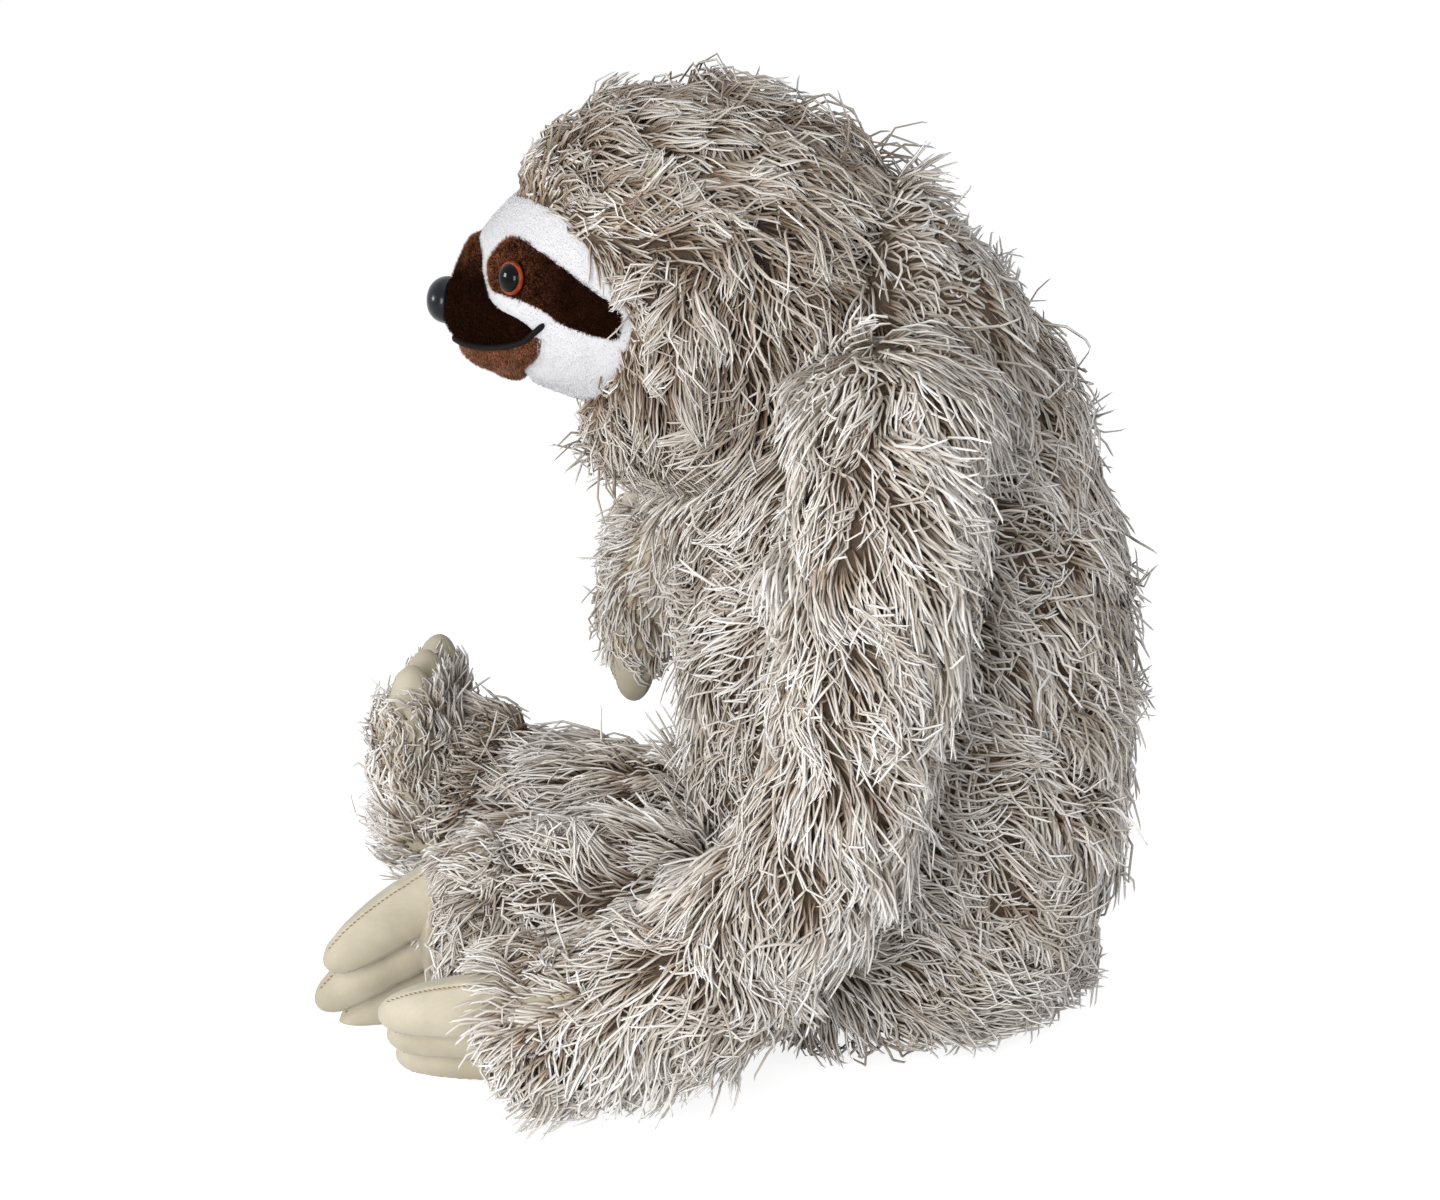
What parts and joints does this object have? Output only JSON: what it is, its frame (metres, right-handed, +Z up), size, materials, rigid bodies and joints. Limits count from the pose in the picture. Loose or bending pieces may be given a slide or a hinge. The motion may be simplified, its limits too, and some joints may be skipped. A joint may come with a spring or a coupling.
{
  "type": "seated sloth soft toy",
  "caption": "Seated sloth soft toy with long shaggy pile, a short-pile masked face and stuffed canvas claws; its head, arms and legs turn on the body.",
  "frame": {"origin": "middle of the flat base that the toy sits on, under the body", "axes": "+Z up from the seat, -Y the way the toy faces, +X towards the toy's own left hand"},
  "size_m": [0.4193, 0.3983, 0.47],
  "materials": {
    "long_pile": "shaggy cream-grey pile with brown roots",
    "white_plush": "short pile",
    "dark_plush": "short pile",
    "brown_plush": "short pile",
    "canvas": "plain weave, matt",
    "thread": "stitched line",
    "filling": "polyester fibre filling",
    "eye_plastic": "clear gloss over brown, black pupil",
    "nose_plastic": "gloss black",
    "washer_plastic": "moulded, plain"
  },
  "bodies": {
    "body": {"body_skin": "long_pile", "body_stuffing": "filling"},
    "head": {"head_skin": "long_pile", "head_stuffing": "filling", "face_mask": "white_plush", "eye_patch_left": "dark_plush", "eye_patch_right": "dark_plush", "muzzle": "dark_plush", "chin": "brown_plush", "mouth_stitch": "thread", "eye_left": "eye_plastic", "eye_right": "eye_plastic", "eye_washer_left": "washer_plastic", "eye_washer_right": "washer_plastic", "nose": "nose_plastic", "nose_washer": "washer_plastic"},
    "arm_left": {"arm_left_skin": "long_pile", "arm_left_stuffing": "filling", "arm_left_palm": "canvas", "arm_left_claw_1": "canvas", "arm_left_claw_2": "canvas", "arm_left_claw_3": "canvas"},
    "arm_right": {"arm_right_skin": "long_pile", "arm_right_stuffing": "filling", "arm_right_palm": "canvas", "arm_right_claw_1": "canvas", "arm_right_claw_2": "canvas", "arm_right_claw_3": "canvas"},
    "leg_left": {"leg_left_skin": "long_pile", "leg_left_stuffing": "filling", "leg_left_sole": "canvas", "leg_left_claw_1": "canvas", "leg_left_claw_2": "canvas", "leg_left_claw_3": "canvas"},
    "leg_right": {"leg_right_skin": "long_pile", "leg_right_stuffing": "filling", "leg_right_sole": "canvas", "leg_right_claw_1": "canvas", "leg_right_claw_2": "canvas", "leg_right_claw_3": "canvas"}
  },
  "joints": [
    {"name": "neck_nod", "type": "hinge", "parent": "body", "child": "head", "pos_m": [0, -0.1, 0.372], "axis": [1, 0, 0], "range_deg": [-8, 15]},
    {"name": "shoulder_swing_left", "type": "hinge", "parent": "body", "child": "arm_left", "pos_m": [0.088, 0.01, 0.33], "axis": [-1, 0, 0], "range_deg": [0, 70]},
    {"name": "shoulder_swing_right", "type": "hinge", "parent": "body", "child": "arm_right", "pos_m": [-0.088, 0.01, 0.33], "axis": [-1, 0, 0], "range_deg": [-10, 80]},
    {"name": "hip_swing_left", "type": "hinge", "parent": "body", "child": "leg_left", "pos_m": [0.0535, -0.112, 0.074], "axis": [-1, 0, 0], "range_deg": [0, 35]},
    {"name": "hip_swing_right", "type": "hinge", "parent": "body", "child": "leg_right", "pos_m": [-0.0535, -0.112, 0.074], "axis": [-1, 0, 0], "range_deg": [0, 35]}
  ]
}
